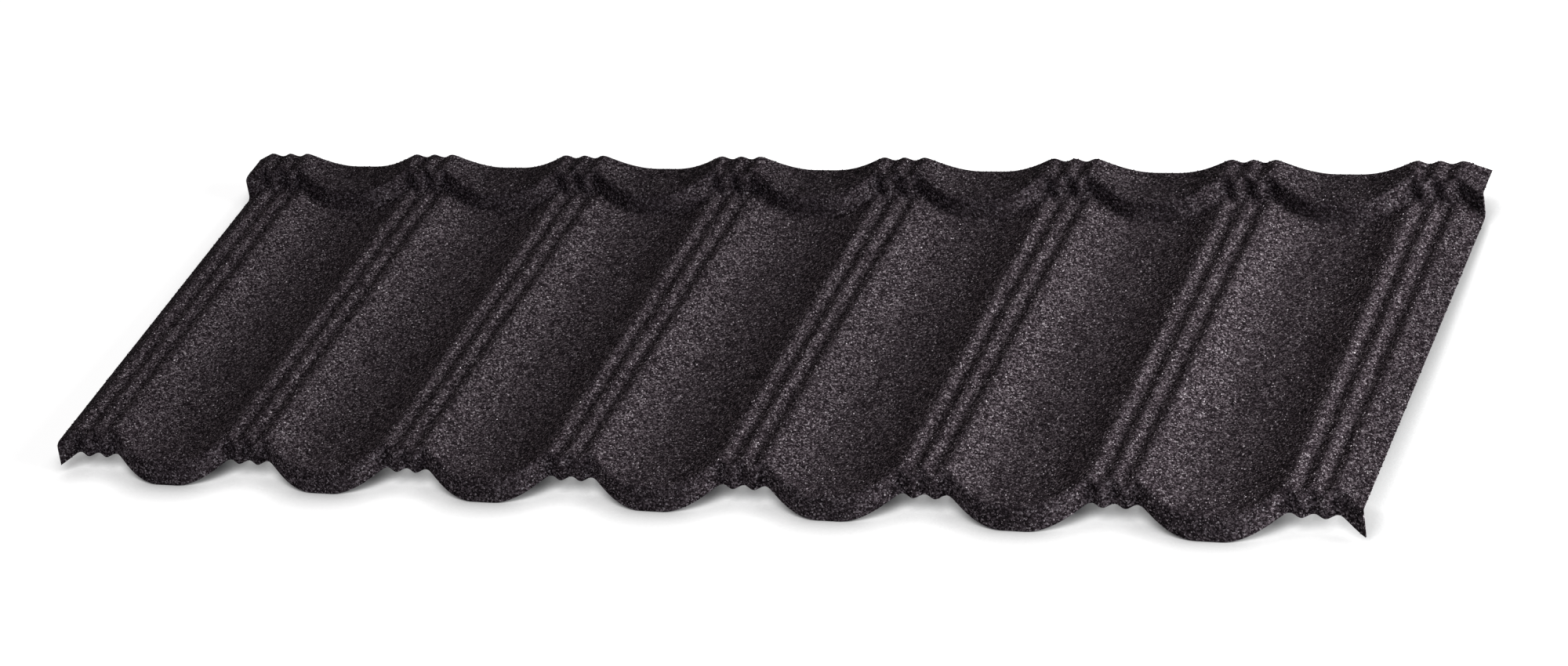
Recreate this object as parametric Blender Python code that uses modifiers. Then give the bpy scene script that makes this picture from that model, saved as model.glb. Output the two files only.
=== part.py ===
"""Tile effect metal roofing sheet.

One sheet of steel, coated with stone granules and pressed in one piece: seven
tile pans side by side, eight crowns of three small ribs, a nose turned down at
the front and a riser that lifts the back strip.

The sheet is a flat grid that a press function moves into its form. Across the
sheet the form is a section, the drop below the rib tops. From front to back it
is a side path: nose, field, riser and strip. Where the section drops, the nose
and the riser move forward, which gives both their scalloped line.

Sheet frame: x along the sheet, y from the front to the back, z up, with its
origin on the bend of the nose at a rib top, halfway between the end crowns.
The finished sheet lies on a level floor. Units are metres.
"""
import math

import bmesh
import bpy
from mathutils import Matrix, Vector

# Section across the sheet
PAN_COUNT = 7
PAN_PITCH = 0.175
PAN_DEPTH = 0.0155
PAN_FLAT_WIDTH = 0.020
PAN_FULLNESS = 1.95
SHOULDER_SOFTNESS = 0.17
RIB_PITCH = 0.0208
RIBS_PER_CROWN = 3
GROOVE_DEPTH = 0.0026
LEFT_FLANK_WIDTH = 0.020
RIGHT_FLANK_WIDTH = 0.025

# Side path from front to back
NOSE_DROP = 0.022
NOSE_LEAN = 0.007
NOSE_RADIUS = 0.007
FIELD_LENGTH = 0.393
RISER_HEIGHT = 0.022
RISER_RUN = 0.006
RISER_RADIUS = 0.006
STRIP_WIDTH = 0.024

# How far the nose and the riser move forward for each metre of drop
NOSE_SCALLOP = 1.5
RISER_SCALLOP = 1.2

SHEET_THICKNESS = 0.002

# Segments of the grid
RIB_STEPS = 6
PAN_STEPS = 5
FLANK_STEPS = 4
BEND_STEPS = 3

COLLECTION_NAME = "tile_effect_metal_roofing_sheet"
SHEET_NAME = "roofing_sheet"
SHARP_ANGLE = math.radians(50)


def clear_scene():
    """Remove every object that the scene starts with."""
    for item in list(bpy.data.objects):
        bpy.data.objects.remove(item, do_unlink=True)


def granule_material():
    """The near black stone coating of the sheet."""
    material = bpy.data.materials.new("granule_coated_steel")
    material.use_nodes = True
    shader = material.node_tree.nodes["Principled BSDF"]
    shader.inputs["Base Color"].default_value = (0.030, 0.026, 0.028, 1.0)
    shader.inputs["Roughness"].default_value = 0.85
    shader.inputs["Metallic"].default_value = 0.0
    return material


def crown_half_width():
    """Distance from the middle of a crown to the top of its outer rib."""
    return (RIBS_PER_CROWN - 1) / 2 * RIB_PITCH


def pan_half_width():
    """Distance from the top of an outer rib to the middle of the pan."""
    return PAN_PITCH / 2 - crown_half_width()


def crown_places():
    """Places of the crowns' middles along the sheet."""
    return [(index - PAN_COUNT / 2) * PAN_PITCH for index in range(PAN_COUNT + 1)]


def groove_drop(distance):
    """Drop between two ribs, by the distance from a rib's top."""
    return GROOVE_DEPTH * (1 - math.cos(2 * math.pi * distance / RIB_PITCH)) / 2


def pan_drop(distance):
    """Drop of a pan, by the distance from the top of the outer rib beside it.

    A trough that is steep beside the rib and flat in the middle. Its
    shoulder is softened so that it runs over the rib as a round top.
    """
    flat_edge = pan_half_width() - PAN_FLAT_WIDTH / 2
    share = min(distance / flat_edge, 1.0)
    trough = 1 - (1 - share) ** PAN_FULLNESS
    softened = math.hypot(trough, SHOULDER_SOFTNESS) - SHOULDER_SOFTNESS
    return PAN_DEPTH * softened / (math.hypot(1, SHOULDER_SOFTNESS) - SHOULDER_SOFTNESS)


def pan_columns():
    """Distances from an outer rib's top at which a pan's side has columns."""
    flat_edge = pan_half_width() - PAN_FLAT_WIDTH / 2
    return [flat_edge * (step / PAN_STEPS) ** 1.3 for step in range(1, PAN_STEPS + 1)]


def section():
    """The columns of the grid: (place along the sheet, drop below the ribs)."""
    half_crown = crown_half_width()
    rib_segments = RIB_STEPS * (RIBS_PER_CROWN - 1)
    crowns = crown_places()
    columns = []
    for step in range(FLANK_STEPS, 0, -1):
        distance = LEFT_FLANK_WIDTH * step / FLANK_STEPS
        columns.append((crowns[0] - half_crown - distance, pan_drop(distance)))
    for index, crown in enumerate(crowns):
        for step in range(rib_segments + 1):
            distance = RIB_PITCH * step / RIB_STEPS
            columns.append((crown - half_crown + distance, groove_drop(distance)))
        if index < PAN_COUNT:
            near = [(crown + half_crown + d, pan_drop(d)) for d in pan_columns()]
            far_rib = crowns[index + 1] - half_crown
            far = [(far_rib - d, pan_drop(d)) for d in reversed(pan_columns())]
            columns += near + far
    for step in range(1, FLANK_STEPS + 1):
        distance = RIGHT_FLANK_WIDTH * step / FLANK_STEPS
        columns.append((crowns[-1] + half_crown + distance, pan_drop(distance)))
    return columns


def bend(corner, before, after, radius):
    """Points of the arc that rounds a corner of the side path."""
    inward = (before - corner).normalized()
    outward = (after - corner).normalized()
    turn = math.pi - inward.angle(outward)
    setback = radius * math.tan(turn / 2)
    centre = corner + (inward + outward).normalized() * radius / math.cos(turn / 2)
    start = corner + inward * setback - centre
    if inward.cross(outward) < 0:
        turn = -turn
    points = []
    for step in range(BEND_STEPS + 1):
        points.append(centre + Matrix.Rotation(-turn * step / BEND_STEPS, 2) @ start)
    return points


def side_path():
    """The rows of the grid, as (y, z, scallop) along a rib's top.

    scallop is how far the row moves forward for each metre of drop. It fades
    out across the strip, so that the back edge is straight.
    """
    back_edge_y = FIELD_LENGTH + RISER_RUN + STRIP_WIDTH
    edge = Vector((-NOSE_LEAN, -NOSE_DROP))
    nose = Vector((0.0, 0.0))
    foot = Vector((FIELD_LENGTH, 0.0))
    top = Vector((FIELD_LENGTH + RISER_RUN, RISER_HEIGHT))
    back = Vector((back_edge_y, RISER_HEIGHT))
    points = [edge]
    points += bend(nose, edge, foot, NOSE_RADIUS)
    points += bend(foot, nose, top, RISER_RADIUS)
    points += bend(top, foot, back, RISER_RADIUS)
    points.append(back)

    rows = []
    for y, z in points:
        along_field = min(max(y / FIELD_LENGTH, 0.0), 1.0)
        along_strip = max((y - top.x) / STRIP_WIDTH, 0.0)
        scallop = NOSE_SCALLOP + (RISER_SCALLOP - NOSE_SCALLOP) * along_field
        rows.append((y, z, scallop * (1 - along_strip)))
    return rows


def press_sheet(collection):
    """Make the sheet: a flat grid, moved into the pressed form and thickened."""
    columns = section()
    rows = side_path()
    grid = bmesh.new()
    bmesh.ops.create_grid(grid, x_segments=len(columns) - 1, y_segments=len(rows) - 1, size=0.5)
    for vertex in grid.verts:
        x, drop = columns[round((vertex.co.x + 0.5) * (len(columns) - 1))]
        y, z, scallop = rows[round((vertex.co.y + 0.5) * (len(rows) - 1))]
        vertex.co = Vector((x, y - scallop * drop, z - drop))
    mesh = bpy.data.meshes.new(SHEET_NAME)
    grid.to_mesh(mesh)
    grid.free()
    mesh.shade_smooth()
    mesh.set_sharp_from_angle(angle=SHARP_ANGLE)
    mesh.materials.append(granule_material())
    sheet = bpy.data.objects.new(SHEET_NAME, mesh)
    collection.objects.link(sheet)
    thickness = sheet.modifiers.new("sheet_thickness", "SOLIDIFY")
    thickness.thickness = SHEET_THICKNESS
    thickness.offset = -1.0
    thickness.use_even_offset = True
    return sheet


def lower_hull(points):
    """The lower side of the convex hull of (y, z) points, from front to back."""
    hull = []
    for point in sorted(points):
        while len(hull) > 1 and turns_right(hull[-2], hull[-1], point):
            hull.pop()
        hull.append(point)
    return hull


def turns_right(first, second, third):
    """Whether a path over three (y, z) points turns right, or runs straight."""
    run = (second[0] - first[0]) * (third[1] - first[1])
    rise = (second[1] - first[1]) * (third[0] - first[0])
    return run - rise <= 0


def lay_down(sheet):
    """Set the sheet on the floor as it lies unheld: on its nose and its pans.

    The turn is that of the hull's edge below the middle of the sheet. The
    origin then goes under the middle of the sheet's box.
    """
    bpy.context.view_layer.update()
    evaluated = sheet.evaluated_get(bpy.context.evaluated_depsgraph_get())
    corners = [vertex.co.copy() for vertex in evaluated.data.vertices]
    middle_y = sum(corner.y for corner in corners) / len(corners)
    hull = lower_hull([(corner.y, corner.z) for corner in corners])
    rest = next(pair for pair in zip(hull, hull[1:]) if pair[1][0] > middle_y)
    slope = math.atan2(rest[1][1] - rest[0][1], rest[1][0] - rest[0][0])
    turn = Matrix.Rotation(-slope, 4, "X")
    turned = [turn @ corner for corner in corners]
    low = Vector([min(corner[axis] for corner in turned) for axis in range(3)])
    high = Vector([max(corner[axis] for corner in turned) for axis in range(3)])
    middle = (low + high) / 2
    sheet.matrix_world = Matrix.Translation((-middle.x, -middle.y, -low.z)) @ turn


def main():
    """Build the roofing sheet."""
    clear_scene()
    collection = bpy.data.collections.new(COLLECTION_NAME)
    bpy.context.scene.collection.children.link(collection)
    sheet = press_sheet(collection)
    lay_down(sheet)


main()
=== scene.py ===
"""Looks of a tile effect metal roofing sheet.

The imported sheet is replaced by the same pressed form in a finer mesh: one half
of a pan is pressed out of a flat grid, mirrored, repeated across the sheet and
trimmed at the flanks. Loose stone granules of four grades lie half sunk in
the coating. The underside has the smooth primer of such sheets.
"""

import logging
import math
from dataclasses import dataclass, field
from enum import Enum
from typing import Any

import bpy
import numpy as np
from mathutils import Matrix, Vector


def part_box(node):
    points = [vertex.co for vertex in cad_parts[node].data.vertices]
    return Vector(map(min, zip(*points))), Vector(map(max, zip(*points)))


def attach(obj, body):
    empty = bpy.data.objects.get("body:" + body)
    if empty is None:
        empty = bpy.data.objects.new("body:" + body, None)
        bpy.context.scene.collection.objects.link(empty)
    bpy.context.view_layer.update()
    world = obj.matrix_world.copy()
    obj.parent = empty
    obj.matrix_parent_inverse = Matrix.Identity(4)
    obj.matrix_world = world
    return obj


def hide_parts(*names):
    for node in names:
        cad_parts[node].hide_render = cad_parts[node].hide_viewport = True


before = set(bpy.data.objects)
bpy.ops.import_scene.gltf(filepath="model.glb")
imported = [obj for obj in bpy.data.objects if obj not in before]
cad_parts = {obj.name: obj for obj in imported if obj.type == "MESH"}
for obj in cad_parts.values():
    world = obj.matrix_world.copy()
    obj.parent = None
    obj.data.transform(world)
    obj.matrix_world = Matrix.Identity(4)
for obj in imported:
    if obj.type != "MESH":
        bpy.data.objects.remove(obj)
log = logging.getLogger("roofing_sheet")

NODE = "roofing_sheet"

# Attributes of the vertices and the stones
# Darkening of the stone colour: darker on the back strip, painted shade on the flanks beyond the
# outermost ribs
DARK_STRIP_AND_FLANK_SHADE = "binder"
PATH = "path"
MINERAL = "mineral"

# How far blue stands above green in a warm grey, as a share of how far red does
BLUE_SHARE = 0.6


# Shader expressions

class Signal:
    """A socket of a node tree that takes part in Python expressions."""

    def __init__(self, board: "Board", socket: bpy.types.NodeSocket) -> None:
        """Wrap an output socket.

        Args:
            board: The board that the socket's node stands on.
            socket: The output socket.
        """
        self.board = board
        self.socket = socket

    def __add__(self, other: Any) -> "Signal":
        """Sum of two values."""
        return self.board.maths("ADD", self, other)

    __radd__ = __add__

    def __mul__(self, other: Any) -> "Signal":
        """Product of two values."""
        return self.board.maths("MULTIPLY", self, other)

    __rmul__ = __mul__

    def __rsub__(self, other: Any) -> "Signal":
        """Difference of two values, this one second."""
        return self.board.maths("SUBTRACT", other, self)

    def __pow__(self, other: Any) -> "Signal":
        """Power of a value."""
        return self.board.maths("POWER", self, other)

    def __gt__(self, other: Any) -> "Signal":
        """1 where this value is greater, else 0."""
        return self.board.maths("GREATER_THAN", self, other)


class Board:
    """A node tree that nodes are added to by one method."""

    def __init__(self, tree: bpy.types.NodeTree) -> None:
        """Take over a node tree and clear it.

        Args:
            tree: The tree of a material, a world or a modifier.
        """
        self.tree = tree
        tree.nodes.clear()

    def node(self, kind: str, settings: dict[str, Any] | None = None,
             inputs: dict[Any, Any] | None = None) -> bpy.types.Node:
        """Add a node.

        Args:
            kind: The node's type.
            settings: Values of the node's own properties, set first.
            inputs: Values or signals by the name or number of the socket.

        Returns:
            The node.
        """
        made = self.tree.nodes.new(kind)
        for name, value in (settings or {}).items():
            if name == "stops":
                self._ramp(made, value)
            else:
                setattr(made, name, value)
        for name, value in (inputs or {}).items():
            if isinstance(value, Signal):
                self.tree.links.new(value.socket, made.inputs[name])
            else:
                made.inputs[name].default_value = value
        return made

    def signal(self, kind: str, output: Any = 0, settings: dict[str, Any] | None = None,
               inputs: dict[Any, Any] | None = None) -> Signal:
        """Add a node and return one of its outputs.

        Args:
            kind: The node's type.
            output: The name or number of the output.
            settings: Values of the node's own properties.
            inputs: Values or signals by the name or number of the socket.

        Returns:
            The wrapped output.
        """
        return Signal(self, self.node(kind, settings, inputs).outputs[output])

    def maths(self, operation: str, *values: Any) -> Signal:
        """Add a Math node for up to three values."""
        return self.signal("ShaderNodeMath", 0, {"operation": operation}, dict(enumerate(values)))

    def vectors(self, operation: str, *values: Any, output: str = "Vector") -> Signal:
        """Add a Vector Math node for up to three vectors."""
        return self.signal("ShaderNodeVectorMath", output, {"operation": operation},
                           dict(enumerate(values)))

    def blend(self, share: Any, first: Any, second: Any) -> Signal:
        """Mix two colours.

        Args:
            share: How much of the second colour shows.
            first: The colour at a share of 0.
            second: The colour at a share of 1.

        Returns:
            The mixed colour.
        """
        # The node keeps a pair of inputs and an output for each kind of value
        return self.signal("ShaderNodeMix", 2, {"data_type": "RGBA"}, {0: share, 6: first, 7: second})

    def random(self, low: Any, high: Any, seed: int) -> Signal:
        """Draw a random number or vector for each point.

        Args:
            low: The least value, a number or a tuple.
            high: The greatest value.
            seed: The seed.

        Returns:
            The drawn value.
        """
        # The node keeps a pair of inputs and an output for each kind, vectors first
        kind, output = ("FLOAT_VECTOR", 0) if isinstance(low, tuple) else ("FLOAT", 1)
        return self.signal("FunctionNodeRandomValue", output, {"data_type": kind},
                           {2 * output: low, 2 * output + 1: high, "Seed": seed})

    def backdrop_rays(self) -> Signal:
        """Tell which rays show the background.

        Returns:
            1 for camera, glossy and transmission rays, else 0.
        """
        path = self.node("ShaderNodeLightPath")
        seen = Signal(self, path.outputs["Is Camera Ray"])
        for kind in ("Is Glossy Ray", "Is Transmission Ray"):
            seen = self.maths("MAXIMUM", seen, Signal(self, path.outputs[kind]))
        return seen

    @staticmethod
    def _ramp(made: bpy.types.Node, stops: list[tuple[float, tuple[float, ...]]]) -> None:
        """Give a colour ramp its stops.

        Args:
            made: The ramp's node.
            stops: Pairs of place and colour.
        """
        elements = made.color_ramp.elements
        while len(elements) > 1:
            elements.remove(elements[-1])
        elements[0].position, elements[0].color = stops[0]
        for place, colour in stops[1:]:
            elements.new(place).color = colour


def grey(value: float, warmth: float = 0.0) -> tuple[float, float, float, float]:
    """A grey with a slight purple tint.

    Args:
        value: The grey's brightness.
        warmth: How far red stands above green, as a share.

    Returns:
        The colour with full alpha.
    """
    return (value * (1 + warmth), value, value * (1 + warmth * BLUE_SHARE), 1.0)


# Finishes

def new_material(name: str) -> tuple[bpy.types.Material, Board]:
    """Make an empty material.

    Args:
        name: The material's name.

    Returns:
        The material and the board of its nodes.
    """
    made = bpy.data.materials.new(name)
    made.use_nodes = True
    return made, Board(made.node_tree)


@dataclass(frozen=True)
class Minerals:
    """The mix of stones in the coating, from black slate to pale quartz.

    Each row of the mix holds a place from 0 to 1, the brightness there as a
    multiple of the mean, and the warmth of its grey.
    """

    mean: float = 0.054
    mix: tuple[tuple[float, float, float], ...] = (
        (0.00, 0.05, 0.36),
        (0.40, 0.20, 0.32),
        (0.60, 0.60, 0.26),
        (0.80, 1.45, 0.21),
        (0.92, 2.80, 0.16),
        (0.98, 4.60, 0.12),
        (1.00, 7.00, 0.09),
    )

    def colour(self, board: Board, chance: Signal) -> Signal:
        """Choose a stone's colour.

        Args:
            board: The material's board.
            chance: The stone's random number from 0 to 1.

        Returns:
            The colour.
        """
        stops = [(place, grey(share * self.mean, warmth)) for place, share, warmth in self.mix]
        return board.signal("ShaderNodeValToRGB", "Color", {"stops": stops}, {"Fac": chance})


@dataclass(frozen=True)
class GranuleCoating:
    """Crushed stone in a dark acrylic binder, on the upper side and the cut edges.

    Where the sheet's darkening attribute is high, the colour goes towards black: darker on the back
    strip, and painted shade on the flanks beyond the outermost ribs.
    """

    minerals: Minerals = Minerals()
    grain_width: float = 0.0013
    facet_height: float = 0.9
    grain_height: float = 0.00035
    patch_width: float = 0.06
    patch_detail: float = 3.0
    patchiness: float = 0.3
    roughness: float = 0.85
    gloss: float = 0.015

    def material(self) -> bpy.types.Material:
        """Make the coating's material.

        Returns:
            The material.
        """
        made, board = new_material("granule_coating")
        place = board.signal("ShaderNodeTexCoord", "Object")
        cells = board.node("ShaderNodeTexVoronoi", {"feature": "F1"},
                           {"Vector": place, "Scale": 1 / self.grain_width})
        colour = Signal(board, cells.outputs["Color"])
        chance = board.signal("ShaderNodeSeparateColor", "Red", None, {"Color": colour})
        stone = self.minerals.colour(board, chance)
        patches = board.signal("ShaderNodeTexNoise", 0, None, {
            "Vector": place, "Scale": 1 / self.patch_width, "Detail": self.patch_detail})
        # Darker on the back strip, and painted shade on the flanks beyond the outermost ribs
        binder = board.signal("ShaderNodeAttribute", "Fac", {"attribute_name": DARK_STRIP_AND_FLANK_SHADE})
        tone = board.blend(patches * self.patchiness + binder, stone, grey(0.0))

        # Each grain is a low dome that leans its own way
        centre = Signal(board, cells.outputs["Position"])
        offset = board.vectors("SUBTRACT", place, centre)
        lean = board.vectors("SUBTRACT", colour, (0.5, 0.5, 0.5))
        facet = board.vectors("DOT_PRODUCT", offset, lean, output="Value") * self.facet_height
        dome = 1 - Signal(board, cells.outputs["Distance"])
        height = facet + dome * self.grain_height
        bump = board.signal("ShaderNodeBump", "Normal", None,
                            {"Strength": 1.0, "Distance": 1.0, "Height": height})
        shader = board.signal("ShaderNodeBsdfPrincipled", 0, None, {
            "Base Color": tone, "Roughness": self.roughness, "Specular IOR Level": self.gloss,
            "Normal": bump})
        board.node("ShaderNodeOutputMaterial", None, {"Surface": shader})
        return made


@dataclass(frozen=True)
class LooseStone:
    """The single stones that stand out of the coating."""

    minerals: Minerals = Minerals()
    vein_width: float = 0.0004
    vein_detail: float = 2.0
    veining: float = 0.4
    roughness: float = 0.7
    gloss: float = 0.015

    def material(self) -> bpy.types.Material:
        """Make the stones' material, one mineral to each stone.

        Returns:
            The material.
        """
        made, board = new_material("loose_stone")
        place = board.signal("ShaderNodeTexCoord", "Object")
        chance = board.signal("ShaderNodeAttribute", "Fac", {"attribute_name": MINERAL})
        veins = board.signal("ShaderNodeTexNoise", 0, None, {
            "Vector": place, "Scale": 1 / self.vein_width, "Detail": self.vein_detail})
        # Darker on the back strip, and painted shade on the flanks beyond the outermost ribs
        binder = board.signal("ShaderNodeAttribute", "Fac", {"attribute_name": DARK_STRIP_AND_FLANK_SHADE})
        tone = board.blend(veins * self.veining + binder, self.minerals.colour(board, chance), grey(0.0))
        shader = board.signal("ShaderNodeBsdfPrincipled", 0, None, {
            "Base Color": tone, "Roughness": self.roughness, "Specular IOR Level": self.gloss})
        board.node("ShaderNodeOutputMaterial", None, {"Surface": shader})
        return made


@dataclass(frozen=True)
class PrimedUnderside:
    """Zinc and aluminium coated steel under a thin grey primer, without granules."""

    dark: tuple[float, float, float, float] = (0.17, 0.175, 0.18, 1.0)
    light: tuple[float, float, float, float] = (0.25, 0.255, 0.255, 1.0)
    spangle_width: float = 0.012
    spangle_share: float = 0.35
    mottle_scale: float = 14.0
    mottle_detail: float = 4.0
    mottle_share: float = 0.3
    grain_scale: float = 900.0
    grain_detail: float = 2.0
    grain_height: float = 0.0002
    grain_strength: float = 0.25
    roughness: float = 0.42
    roughness_spread: float = 0.12
    metallic: float = 0.35

    def material(self) -> bpy.types.Material:
        """Make the underside's material.

        Returns:
            The material.
        """
        made, board = new_material("primed_underside")
        place = board.signal("ShaderNodeTexCoord", "Object")
        spangle = board.signal("ShaderNodeTexVoronoi", "Color", None,
                               {"Vector": place, "Scale": 1 / self.spangle_width})
        chance = board.signal("ShaderNodeSeparateColor", "Red", None, {"Color": spangle})
        mottle = board.signal("ShaderNodeTexNoise", 0, None, {
            "Vector": place, "Scale": self.mottle_scale, "Detail": self.mottle_detail})
        lightness = chance * self.spangle_share + mottle * self.mottle_share
        tone = board.blend(lightness, self.dark, self.light)
        grain = board.signal("ShaderNodeTexNoise", 0, None, {
            "Vector": place, "Scale": self.grain_scale, "Detail": self.grain_detail})
        bump = board.signal("ShaderNodeBump", "Normal", None, {
            "Strength": self.grain_strength, "Distance": self.grain_height, "Height": grain})
        shader = board.signal("ShaderNodeBsdfPrincipled", 0, None, {
            "Base Color": tone, "Roughness": self.roughness + chance * self.roughness_spread,
            "Metallic": self.metallic, "Normal": bump})
        board.node("ShaderNodeOutputMaterial", None, {"Surface": shader})
        return made


@dataclass(frozen=True)
class StudioPaper:
    """The white paper that the sheet lies on.

    The camera and glossy faces see it white, with a soft even shadow all round
    the sheet.
    """

    tone: float = 0.80
    seen_tone: float = 0.25
    glow: float = 0.9
    shadow_reach: float = 0.035
    shadow_depth: float = 3.5
    shadow_samples: int = 8

    def material(self) -> bpy.types.Material:
        """Make the paper's material, brighter for the camera than for the sheet.

        Returns:
            The material.
        """
        made, board = new_material("studio_paper")
        seen = board.backdrop_rays()
        colour = board.blend(seen, grey(self.tone), grey(self.seen_tone))
        paper = board.signal("ShaderNodeBsdfDiffuse", 0, None, {"Color": colour})
        open_sky = board.signal("ShaderNodeAmbientOcclusion", "AO", {"samples": self.shadow_samples},
                                {"Distance": self.shadow_reach})
        glow = board.signal("ShaderNodeEmission", 0, None, {
            "Color": grey(1.0), "Strength": seen * open_sky ** self.shadow_depth * self.glow})
        both = board.signal("ShaderNodeAddShader", 0, None, {0: paper, 1: glow})
        board.node("ShaderNodeOutputMaterial", None, {"Surface": both})
        return made


# Modelling helpers

def deselect_all() -> None:
    """Leave edit mode and deselect every object."""
    if bpy.context.object and bpy.context.object.mode != "OBJECT":
        bpy.ops.object.mode_set(mode="OBJECT")
    bpy.ops.object.select_all(action="DESELECT")


def take(piece: bpy.types.Object) -> None:
    """Make a piece the only selected and the active object.

    Args:
        piece: The object.
    """
    deselect_all()
    piece.select_set(True)
    bpy.context.view_layer.objects.active = piece


def choose(piece: bpy.types.Object, mask: np.ndarray) -> None:
    """Enter edit mode with only some vertices selected.

    Args:
        piece: The mesh object.
        mask: True for each vertex that is selected.
    """
    bpy.ops.object.mode_set(mode="OBJECT")
    mesh = piece.data
    mesh.polygons.foreach_set("select", np.zeros(len(mesh.polygons), bool))
    mesh.edges.foreach_set("select", np.zeros(len(mesh.edges), bool))
    mesh.vertices.foreach_set("select", mask)
    bpy.ops.object.mode_set(mode="EDIT")
    bpy.ops.mesh.select_mode(type="VERT")


def places(mesh: bpy.types.Mesh) -> np.ndarray:
    """The vertices' places as an array of rows."""
    flat = np.empty(len(mesh.vertices) * 3)
    mesh.vertices.foreach_get("co", flat)
    return flat.reshape(-1, 3)


def new_map(mesh: bpy.types.Mesh, spots: np.ndarray) -> None:
    """Give a mesh its only map, named OFBake.

    Args:
        mesh: The mesh.
        spots: The (u, v) of each face corner.
    """
    for name in [item.name for item in mesh.attributes if item.data_type == "FLOAT2"]:
        mesh.attributes.remove(mesh.attributes[name])
    layer = mesh.uv_layers.new(name="OFBake")
    layer.uv.foreach_set("vector", spots.astype(np.float32).ravel())


def finish_modifier(piece: bpy.types.Object, kind: str, **settings: Any) -> None:
    """Add a modifier and apply it.

    Args:
        piece: The object.
        kind: The modifier's type.
        **settings: Values of the modifier's properties.
    """
    take(piece)
    bpy.ops.object.modifier_add(type=kind)
    modifier = piece.modifiers[-1]
    for name, value in settings.items():
        setattr(modifier, name, value)
    bpy.ops.object.modifier_apply(modifier=modifier.name)


# The sheet

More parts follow.
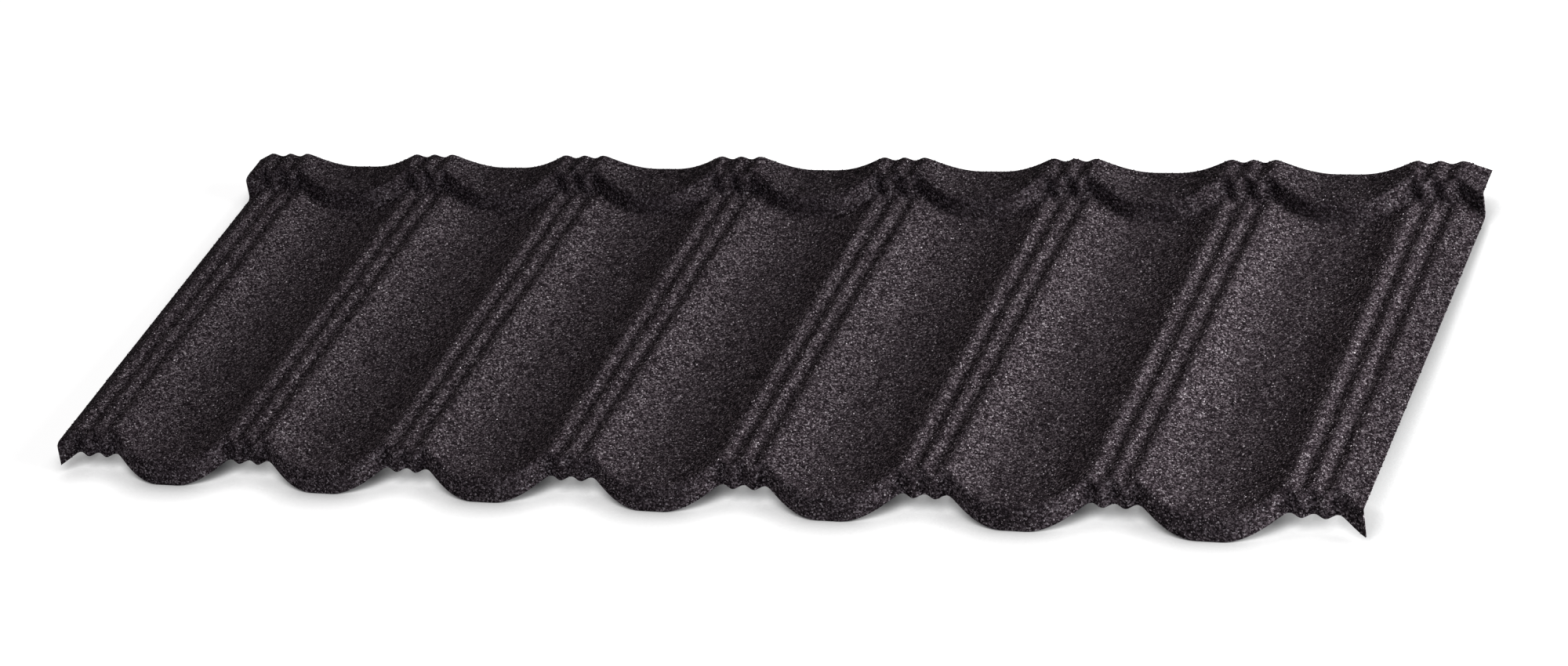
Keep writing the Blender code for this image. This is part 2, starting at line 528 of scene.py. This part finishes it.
@dataclass
class PressedSheet:
    """The sheet with its pans, ribs, nose, riser and back strip.

    Sheet frame while it is modelled: x along the sheet, y from front to back,
    z up, with the origin on the bend of the nose at a rib's top.
    """

    pan_count: int = 7
    pan_pitch: float = 0.175
    pan_depth: float = 0.0155
    pan_flat_width: float = 0.020
    pan_fullness: float = 1.95
    shoulder_softness: float = 0.17
    rib_pitch: float = 0.0208
    groove_depth: float = 0.0026
    left_flank_width: float = 0.020
    right_flank_width: float = 0.025
    nose_drop: float = 0.022
    nose_lean: float = 0.007
    nose_radius: float = 0.007
    field_length: float = 0.393
    riser_height: float = 0.022
    riser_run: float = 0.006
    riser_radius: float = 0.006
    strip_width: float = 0.024
    nose_scallop: float = 1.5
    edge_ribs: float = 0.7
    riser_scallop: float = 1.2
    thickness: float = 0.002
    granule_stand: float = 0.0006
    groove_thinning: float = 0.0006
    # How much darker the back strip is drawn
    strip_darkening: float = 0.25
    # Painted shade on the flanks beyond the outermost ribs, and the width it fades in over
    flank_painted_shade: float = 0.30
    flank_blend: float = 0.008
    tilt: float = math.radians(-2.961)
    sharp_angle: float = math.radians(50)
    columns: int = 48
    nose_steps: int = 5
    bend_steps: int = 5
    field_steps: int = 30
    strip_steps: int = 5
    merge_distance: float = 1e-5
    cut_distance: float = 1e-6
    coating: GranuleCoating = field(default_factory=GranuleCoating)
    underside: PrimedUnderside = field(default_factory=PrimedUnderside)

    def drop(self, distance: float) -> float:
        """How far the section lies below the rib tops.

        Args:
            distance: Distance from the middle of a crown.

        Returns:
            The drop.
        """
        beyond = distance - self.rib_pitch
        if beyond <= 0:
            # The coat is thinner in the grooves than on the ribs
            depth = self.groove_depth + self.groove_thinning
            return depth * (1 - math.cos(2 * math.pi * beyond / self.rib_pitch)) / 2
        reach = self.pan_pitch / 2 - self.rib_pitch - self.pan_flat_width / 2
        share = min(beyond / reach, 1.0)
        trough = 1 - (1 - share) ** self.pan_fullness
        soft = self.shoulder_softness
        return self.pan_depth * (math.hypot(trough, soft) - soft) / (math.hypot(1, soft) - soft)

    def bend(self, corner: Vector, before: Vector, after: Vector, radius: float) -> list[Vector]:
        """Points of the arc that rounds a corner of the side path.

        Args:
            corner: The corner's (y, z).
            before: A point on the leg before it.
            after: A point on the leg after it.
            radius: The arc's radius.

        Returns:
            The points, from one leg to the other.
        """
        inward = (before - corner).normalized()
        outward = (after - corner).normalized()
        turn = math.pi - inward.angle(outward)
        centre = corner + (inward + outward).normalized() * radius / math.cos(turn / 2)
        start = corner + inward * radius * math.tan(turn / 2) - centre
        if inward.cross(outward) < 0:
            turn = -turn
        steps = range(self.bend_steps + 1)
        return [centre + Matrix.Rotation(-turn * step / self.bend_steps, 2) @ start for step in steps]

    def side_path(self) -> list[Vector]:
        """The rows of the sheet as (y, z) along a rib's top, from front to back."""
        edge = Vector((-self.nose_lean, -self.nose_drop))
        nose = Vector((0.0, 0.0))
        foot = Vector((self.field_length, 0.0))
        top = foot + Vector((self.riser_run, self.riser_height))
        back = top + Vector((self.strip_width, 0.0))
        nose_arc = self.bend(nose, edge, foot, self.nose_radius)
        foot_arc = self.bend(foot, nose, top, self.riser_radius)
        top_arc = self.bend(top, foot, back, self.riser_radius)
        rows = [edge.lerp(nose_arc[0], step / self.nose_steps) for step in range(self.nose_steps)]
        rows += nose_arc
        rows += [nose_arc[-1].lerp(foot_arc[0], step / self.field_steps)
                 for step in range(1, self.field_steps)]
        rows += foot_arc + [foot_arc[-1].lerp(top_arc[0], 0.5)] + top_arc
        rows += [top_arc[-1].lerp(back, step / self.strip_steps)
                 for step in range(1, self.strip_steps + 1)]
        return rows

    def half_pan(self) -> bpy.types.Object:
        """Press one half of a pan, from the middle of a crown to the middle of the pan.

        Returns:
            The half pan, with the pan's middle at x = 0 and the crown on its left.
        """
        rows = self.side_path()
        last = len(rows) - 1
        half = self.pan_pitch / 2
        deselect_all()
        bpy.ops.mesh.primitive_grid_add(x_subdivisions=self.columns, y_subdivisions=last, size=1.0)
        piece = bpy.context.object
        spots = places(piece.data)
        column = np.rint((spots[:, 0] + 0.5) * self.columns).astype(int)
        row = np.rint((spots[:, 1] + 0.5) * last).astype(int)
        bpy.ops.object.mode_set(mode="EDIT")
        bpy.ops.mesh.select_all(action="SELECT")
        bpy.ops.transform.resize(value=(half, 1.0, 1.0))
        bpy.ops.transform.translate(value=(-half / 2, 0.5, 0.0))

        for index, (y, z) in enumerate(rows):
            choose(piece, row == index)
            bpy.ops.transform.translate(value=(0.0, y - index / last, z))
        # Each column stretches away from a far point, more at the nose than at the riser
        far = self.field_length * self.nose_scallop / (self.nose_scallop - self.riser_scallop)
        top_y = self.field_length + self.riser_run
        back_y = rows[-1].x
        strip = np.array([y for y, z in rows])[row] > top_y
        for index in range(self.columns + 1):
            drop = self.drop(half * index / self.columns)
            if not drop:
                continue
            choose(piece, column == index)
            bpy.ops.transform.translate(value=(0.0, 0.0, -drop))
            choose(piece, (column == index) & ~strip)
            grow = 1 + self.nose_scallop * drop / far
            bpy.ops.transform.resize(value=(1.0, grow, 1.0), center_override=(0.0, far, 0.0))
            # The back edge of the strip stays straight
            choose(piece, (column == index) & strip)
            stretch = 1 + self.riser_scallop * drop / (back_y - top_y)
            bpy.ops.transform.resize(value=(1.0, stretch, 1.0), center_override=(0.0, back_y, 0.0))
        # The ribs run out towards the edge of the nose
        for index in range(self.nose_steps):
            choose(piece, (row == index) & (column * half / self.columns < self.rib_pitch))
            share = self.edge_ribs + (1 - self.edge_ribs) * index / self.nose_steps
            bpy.ops.transform.resize(value=(1.0, share, share), center_override=(0.0, *rows[index]))
        bpy.ops.object.mode_set(mode="OBJECT")
        steps = [0.0] + [(after - before).length for before, after in zip(rows, rows[1:])]
        path = np.cumsum(steps) / sum(steps)
        # The back strip, which the next sheet covers, is drawn darker
        for name, values in ((DARK_STRIP_AND_FLANK_SHADE, self.strip_darkening * strip), (PATH, path[row])):
            layer = piece.data.attributes.new(name, "FLOAT", "POINT")
            layer.data.foreach_set("value", values.astype(np.float32))
        return piece

    @property
    def last_rib(self) -> float:
        """Place of the outermost rib's top along the sheet, on either side."""
        return self.pan_count / 2 * self.pan_pitch + self.rib_pitch

    def paint_flank_shade(self, piece: bpy.types.Object) -> None:
        """Paint shade on the flanks beyond the outermost ribs, where neighbouring sheets lap.

        Args:
            piece: The trimmed sheet.
        """
        beyond = np.abs(places(piece.data)[:, 0]) - self.last_rib
        # Painted shade that fades in beyond the outermost ribs
        flank = self.flank_painted_shade * np.clip(beyond / self.flank_blend, 0.0, 1.0)
        layer = piece.data.attributes[DARK_STRIP_AND_FLANK_SHADE].data
        binder = np.empty(len(beyond), np.float32)
        layer.foreach_get("value", binder)
        layer.foreach_set("value", np.maximum(binder, flank).astype(np.float32))

    def trim(self, piece: bpy.types.Object) -> None:
        """Cut the row of pans off at both flanks.

        Args:
            piece: The row of pans, wider than the sheet.
        """
        ends = ((-self.last_rib - self.left_flank_width, -1.0),
                (self.last_rib + self.right_flank_width, 1.0))
        take(piece)
        bpy.ops.object.mode_set(mode="EDIT")
        for x, side in ends:
            bpy.ops.mesh.select_all(action="SELECT")
            bpy.ops.mesh.bisect(plane_co=(x, 0.0, 0.0), plane_no=(side, 0.0, 0.0),
                                clear_outer=True, threshold=self.cut_distance)
        bpy.ops.object.mode_set(mode="OBJECT")

    def build(self) -> bpy.types.Object:
        """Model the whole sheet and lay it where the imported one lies.

        Returns:
            The finished sheet.
        """
        piece = self.half_pan()
        piece.name = piece.data.name = "pressed_sheet"
        finish_modifier(piece, "MIRROR", merge_threshold=self.merge_distance)
        finish_modifier(piece, "ARRAY", count=self.pan_count + 2, use_relative_offset=False,
                        use_constant_offset=True, constant_offset_displace=(self.pan_pitch, 0.0, 0.0),
                        use_merge_vertices=True, merge_threshold=self.merge_distance)
        take(piece)
        bpy.ops.object.mode_set(mode="EDIT")
        bpy.ops.mesh.select_all(action="SELECT")
        bpy.ops.transform.translate(value=(-self.pan_pitch * (self.pan_count + 1) / 2, 0.0, 0.0))
        self.trim(piece)
        # Painted shade on the flanks
        self.paint_flank_shade(piece)
        take(piece)
        bpy.ops.object.mode_set(mode="EDIT")
        bpy.ops.mesh.select_all(action="SELECT")
        bpy.ops.mesh.normals_make_consistent(inside=False)
        bpy.ops.object.mode_set(mode="OBJECT")
        if sum(face.normal.z for face in piece.data.polygons) < 0:
            bpy.ops.object.mode_set(mode="EDIT")
            bpy.ops.mesh.flip_normals()
        bpy.ops.object.mode_set(mode="EDIT")
        bpy.ops.transform.shrink_fatten(value=-self.granule_stand)
        bpy.ops.object.mode_set(mode="OBJECT")
        piece.data.materials.append(self.coating.material())
        piece.data.materials.append(self.underside.material())
        top_vertices = len(piece.data.vertices)
        finish_modifier(piece, "SOLIDIFY", thickness=self.thickness - self.granule_stand, offset=-1.0,
                        use_even_offset=True, material_offset=1)
        self.unwrap(piece, top_vertices)
        self.lay_down(piece)
        take(piece)
        bpy.ops.object.shade_smooth_by_angle(angle=self.sharp_angle)
        return piece

    def unwrap(self, piece: bpy.types.Object, top_vertices: int) -> None:
        """Give the sheet a map with most of its room for the coated side.

        The coated side fills two bands, one for each half of the sheet, the
        underside a low third band, and the four cut edges thin lines above.

        Args:
            piece: The sheet with its thickness, in its own frame.
            top_vertices: How many vertices the coated side has. They come first.
        """
        mesh = piece.data
        corner = np.empty(len(mesh.loops), np.int32)
        mesh.loops.foreach_get("vertex_index", corner)
        corners_of_face = np.empty(len(mesh.polygons), np.int32)
        mesh.polygons.foreach_get("loop_total", corners_of_face)
        path = np.empty(len(mesh.vertices), np.float32)
        mesh.attributes[PATH].data.foreach_get("value", path)
        face = np.repeat(np.arange(len(mesh.polygons)), corners_of_face)
        x, v = places(mesh)[corner, 0], path[corner]
        low, high = x.min(), x.max()
        u = (x - low) / (high - low)
        below = (corner >= top_vertices).astype(float)

        def mean(values: np.ndarray) -> np.ndarray:
            """A value's mean over the face of each corner."""
            return (np.bincount(face, values) / corners_of_face)[face]

        edge = (mean(below) > 0) & (mean(below) < 1)
        near = 1e-4
        # Which corners, how they lie across and up the band, its start and its height
        bands = (
            (mean(x) < 0, 1 - x / low, v, 0.0, 0.415),
            (mean(x) > 0, x / high, v, 0.42, 0.415),
            (mean(below) == 1, 1 - u, v, 0.84, 0.115),
            (edge & (mean(v) < near), u, below, 0.96, 0.007),
            (edge & (mean(v) > 1 - near), u, below, 0.97, 0.007),
            (edge & (mean(x) < low + near), v, below, 0.98, 0.007),
            (edge & (mean(x) > high - near), v, below, 0.99, 0.007),
        )
        spots = np.zeros((len(corner), 2))
        for chosen, across, up, start, height in bands:
            spots[chosen] = np.stack((across, start + height * up), axis=1)[chosen]
        new_map(mesh, spots)

    def lay_down(self, piece: bpy.types.Object) -> None:
        """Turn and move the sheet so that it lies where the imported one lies.

        Args:
            piece: The sheet in its own frame.
        """
        take(piece)
        piece.rotation_euler = (self.tilt, 0.0, 0.0)
        bpy.ops.object.transform_apply(location=False, rotation=True, scale=False)
        spots = places(piece.data)
        low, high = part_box(NODE)
        middle = (low + high) / 2
        mine = (spots.min(axis=0) + spots.max(axis=0)) / 2
        piece.location = (middle.x - mine[0], middle.y - mine[1], low.z - spots[:, 2].min())
        bpy.ops.object.transform_apply(location=True, rotation=False, scale=False)


# The granules

class Grade(Enum):
    """The grades of the loose stones, by the width of a stone."""

    FINE = 0.0011
    MEDIUM = 0.0014
    COARSE = 0.0017
    CHIP = 0.0020


@dataclass
class Granules:
    """Stones of one grade, half sunk in the coating.

    All grades share one scatter of places, and each grade takes its own part
    of it. A stone has eight faces.
    """

    grade: Grade
    sheet: bpy.types.Object
    spacing: float = 0.0019
    density: float = 520000.0
    clearance: float = 0.0014
    sides: int = 4
    tip_height: float = 0.5
    merge_distance: float = 1e-4
    lean: float = 0.5
    least: tuple[float, float, float] = (0.75, 0.75, 0.55)
    greatest: tuple[float, float, float] = (1.2, 1.2, 0.85)
    front_wear: float = 0.5
    brokenness: float = 0.16
    shape_seed: int = 3
    place_seed: int = 7
    grade_seed: int = 11
    spin_seed: int = 23
    size_seed: int = 31
    mineral_seed: int = 41
    map_ring: float = 0.4
    finish: LooseStone = field(default_factory=LooseStone)

    def stone(self) -> bpy.types.Object:
        """Model one crushed stone with eight broken faces, one unit wide.

        Returns:
            The stone, centred on the origin.
        """
        deselect_all()
        bpy.ops.mesh.primitive_cone_add(vertices=self.sides, radius1=0.5, radius2=0.0,
                                        depth=self.tip_height, end_fill_type="NOTHING")
        stone = bpy.context.object
        bpy.ops.object.mode_set(mode="EDIT")
        bpy.ops.mesh.select_all(action="SELECT")
        bpy.ops.transform.translate(value=(0.0, 0.0, self.tip_height / 2))
        bpy.ops.object.mode_set(mode="OBJECT")
        finish_modifier(stone, "MIRROR", use_axis=(False, False, True),
                        merge_threshold=self.merge_distance)
        take(stone)
        bpy.ops.object.mode_set(mode="EDIT")
        bpy.ops.mesh.select_all(action="SELECT")
        bpy.ops.transform.vertex_random(offset=self.brokenness, seed=self.number + self.shape_seed)
        bpy.ops.mesh.normals_make_consistent(inside=False)
        bpy.ops.object.mode_set(mode="OBJECT")
        return stone

    @property
    def stone_vertices(self) -> int:
        """How many vertices a stone has: one at each side and both tips."""
        return self.sides + 2

    @property
    def number(self) -> int:
        """The grade's number, from the finest."""
        return list(Grade).index(self.grade)

    def scatter(self, stone: bpy.types.Object) -> bpy.types.NodeTree:
        """Wire the node group that strews the stones over the coating.

        Args:
            stone: The stone that is repeated.

        Returns:
            The node group.
        """
        tree = bpy.data.node_groups.new("strew_granules", "GeometryNodeTree")
        tree.interface.new_socket("Geometry", in_out="INPUT", socket_type="NodeSocketGeometry")
        tree.interface.new_socket("Geometry", in_out="OUTPUT", socket_type="NodeSocketGeometry")
        board = Board(tree)
        sheet = board.signal("NodeGroupInput")
        coated = 1 - board.signal("GeometryNodeInputMaterialIndex")
        spot = board.signal("GeometryNodeInputPosition")
        height = board.signal("ShaderNodeSeparateXYZ", "Z", None, {"Vector": spot})
        strewn = board.node("GeometryNodeDistributePointsOnFaces", {"distribute_method": "POISSON"}, {
            "Mesh": sheet, "Selection": coated * (height > self.clearance), "Distance Min": self.spacing,
            "Density Max": self.density, "Seed": self.place_seed})
        # A place is this grade's where its draw falls within the unit above the grade's number
        turn = board.random(0.0, float(len(Grade)), self.grade_seed)
        mine = board.maths("COMPARE", turn, self.number + 0.5, 0.5)
        spin = board.random((-self.lean, -self.lean, 0.0), (self.lean, self.lean, 2 * math.pi),
                            self.spin_seed)
        upright = Signal(board, strewn.outputs["Rotation"])
        rotation = board.signal("FunctionNodeRotateRotation", 0, {"rotation_space": "LOCAL"},
                                {0: upright, 1: spin})
        low = tuple(self.grade.value * share for share in self.least)
        high = tuple(self.grade.value * share for share in self.greatest)
        # The press wears the stones down on the faces that look forward
        toward = board.signal("ShaderNodeSeparateXYZ", "Y", None, {
            "Vector": Signal(board, strewn.outputs["Normal"])})
        worn = board.maths("MAXIMUM", 0.0 - toward, 0.0) * self.front_wear
        size = board.signal("ShaderNodeVectorMath", 0, {"operation": "SCALE"},
                            {0: board.random(low, high, self.size_seed), "Scale": 1 - worn})
        model = board.node("GeometryNodeObjectInfo", None, {})
        model.inputs["Object"].default_value = stone
        stones = board.signal("GeometryNodeInstanceOnPoints", 0, None, {
            "Points": Signal(board, strewn.outputs["Points"]), "Selection": mine,
            "Instance": Signal(board, model.outputs["Geometry"]), "Rotation": rotation,
            "Scale": size})
        chance = board.random(0.0, 1.0, self.mineral_seed)
        marked = board.signal("GeometryNodeStoreNamedAttribute", 0,
                              {"data_type": "FLOAT", "domain": "INSTANCE"},
                              {"Geometry": stones, "Name": MINERAL, "Value": chance})
        real = board.signal("GeometryNodeRealizeInstances", 0, None, {"Geometry": marked})
        board.node("NodeGroupOutput", None, {"Geometry": real})
        return tree

    def unwrap(self, piece: bpy.types.Object) -> None:
        """Give each stone its own square of the piece's map, with its vertices on a ring.

        Args:
            piece: The strewn stones.
        """
        mesh = piece.data
        loops = np.empty(len(mesh.loops), np.int32)
        mesh.loops.foreach_get("vertex_index", loops)
        stones = len(mesh.vertices) // self.stone_vertices
        side = math.ceil(math.sqrt(stones))
        angle = 2 * math.pi * np.arange(self.stone_vertices) / self.stone_vertices
        ring = 0.5 + self.map_ring * np.stack((np.cos(angle), np.sin(angle)), axis=1)
        stone, corner = np.divmod(loops, self.stone_vertices)
        square = np.stack((stone % side, stone // side), axis=1)
        new_map(mesh, (square + ring[corner]) / side)

    def build(self) -> bpy.types.Object:
        """Strew the stones of this grade.

        Returns:
            The piece with all of them.
        """
        stone = self.stone()
        take(self.sheet)
        bpy.ops.object.duplicate()
        piece = bpy.context.object
        piece.name = piece.data.name = f"granules_{self.grade.name.lower()}"
        bpy.ops.object.modifier_add(type="NODES")
        piece.modifiers[-1].node_group = self.scatter(stone)
        bpy.ops.object.modifier_apply(modifier=piece.modifiers[-1].name)
        piece.data.materials.clear()
        piece.data.materials.append(self.finish.material())
        self.unwrap(piece)
        bpy.data.objects.remove(stone)
        return piece


# The set

@dataclass
class Studio:
    """Floor, world, lamp and camera."""

    camera_place: tuple[float, float, float] = (1.66331, -2.34308, 2.11800)
    camera_right: tuple[float, float, float] = (0.888667, 0.360281, -0.283668)
    camera_up: tuple[float, float, float] = (-0.026488, 0.657917, 0.752625)
    lens: float = 88.758
    sensor_width: float = 36.0
    nearest: float = 0.05
    farthest: float = 50.0
    floor_width: float = 16.0
    sky: float = 0.33
    left_hue: tuple[float, float, float, float] = (1.22, 0.97, 0.86, 1.0)
    front_hue: tuple[float, float, float, float] = (0.96, 0.98, 1.17, 1.0)
    key_place: tuple[float, float, float] = (2.9, -0.03, 0.92)
    key_width: float = 1.2
    key_power: float = 255.0
    paper: StudioPaper = field(default_factory=StudioPaper)

    def floor(self) -> None:
        """Lay the paper on the ground."""
        deselect_all()
        bpy.ops.mesh.primitive_plane_add(size=self.floor_width, location=(0.0, 0.0, 0.0))
        paper = bpy.context.object
        paper.name = "studio_floor"
        paper.data.materials.append(self.paper.material())

    def world(self) -> None:
        """Light the set softly from all sides, white where the camera sees past the floor."""
        made = bpy.data.worlds.new("studio")
        made.use_nodes = True
        board = Board(made.node_tree)
        seen = board.backdrop_rays()
        strength = seen * (1 - self.sky) + self.sky
        toward = board.node("ShaderNodeSeparateXYZ", None, {
            "Vector": board.signal("ShaderNodeTexCoord", "Generated")})
        left = board.maths("MAXIMUM", 0.0 - Signal(board, toward.outputs["X"]), 0.0)
        front = board.maths("MAXIMUM", 0.0 - Signal(board, toward.outputs["Y"]), 0.0)
        hue = board.blend(left, grey(1.0), self.left_hue)
        hue = board.blend(front, hue, self.front_hue)
        light = board.signal("ShaderNodeBackground", 0, None,
                             {"Color": board.blend(seen, hue, grey(1.0)), "Strength": strength})
        board.node("ShaderNodeOutputWorld", None, {"Surface": light})
        bpy.context.scene.world = made

    def lamp(self, name: str, place: tuple[float, float, float], width: float, power: float) -> None:
        """Hang a square soft lamp that faces the sheet.

        Args:
            name: The lamp's name.
            place: Where it hangs.
            width: Its side.
            power: Its power in watts.
        """
        light = bpy.data.lights.new(name, "AREA")
        light.size = width
        light.energy = power
        lamp = bpy.data.objects.new(name, light)
        bpy.context.scene.collection.objects.link(lamp)
        lamp.location = place
        lamp.rotation_euler = (-Vector(place)).to_track_quat("-Z", "Y").to_euler()

    def camera(self) -> None:
        """Set the camera at the photograph's angle."""
        data = bpy.data.cameras.new("camera")
        data.sensor_width = self.sensor_width
        data.lens = self.lens
        data.dof.use_dof = False
        data.clip_start, data.clip_end = self.nearest, self.farthest
        camera = bpy.data.objects.new("camera", data)
        bpy.context.scene.collection.objects.link(camera)
        right = Vector(self.camera_right).normalized()
        up = Vector(self.camera_up).normalized()
        turn = Matrix((right, up, right.cross(up))).transposed()
        camera.matrix_world = Matrix.Translation(self.camera_place) @ turn.to_4x4()
        bpy.context.scene.camera = camera

    def build(self) -> None:
        """Set up the whole studio."""
        self.floor()
        self.world()
        self.lamp("key", self.key_place, self.key_width, self.key_power)
        self.camera()
        bpy.context.scene.view_settings.view_transform = "Standard"


def main() -> None:
    """Build the sheet and its studio."""
    logging.basicConfig(level=logging.INFO)
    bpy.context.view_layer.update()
    sheet = PressedSheet().build()
    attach(sheet, "root")
    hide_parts(NODE)
    log.info("%s: %d faces", sheet.name, len(sheet.data.polygons))
    for grade in Grade:
        stones = Granules(grade, sheet).build()
        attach(stones, "root")
        log.info("%s: %d faces", stones.name, len(stones.data.polygons))
    Studio().build()


if __name__ == "__main__":
    main()
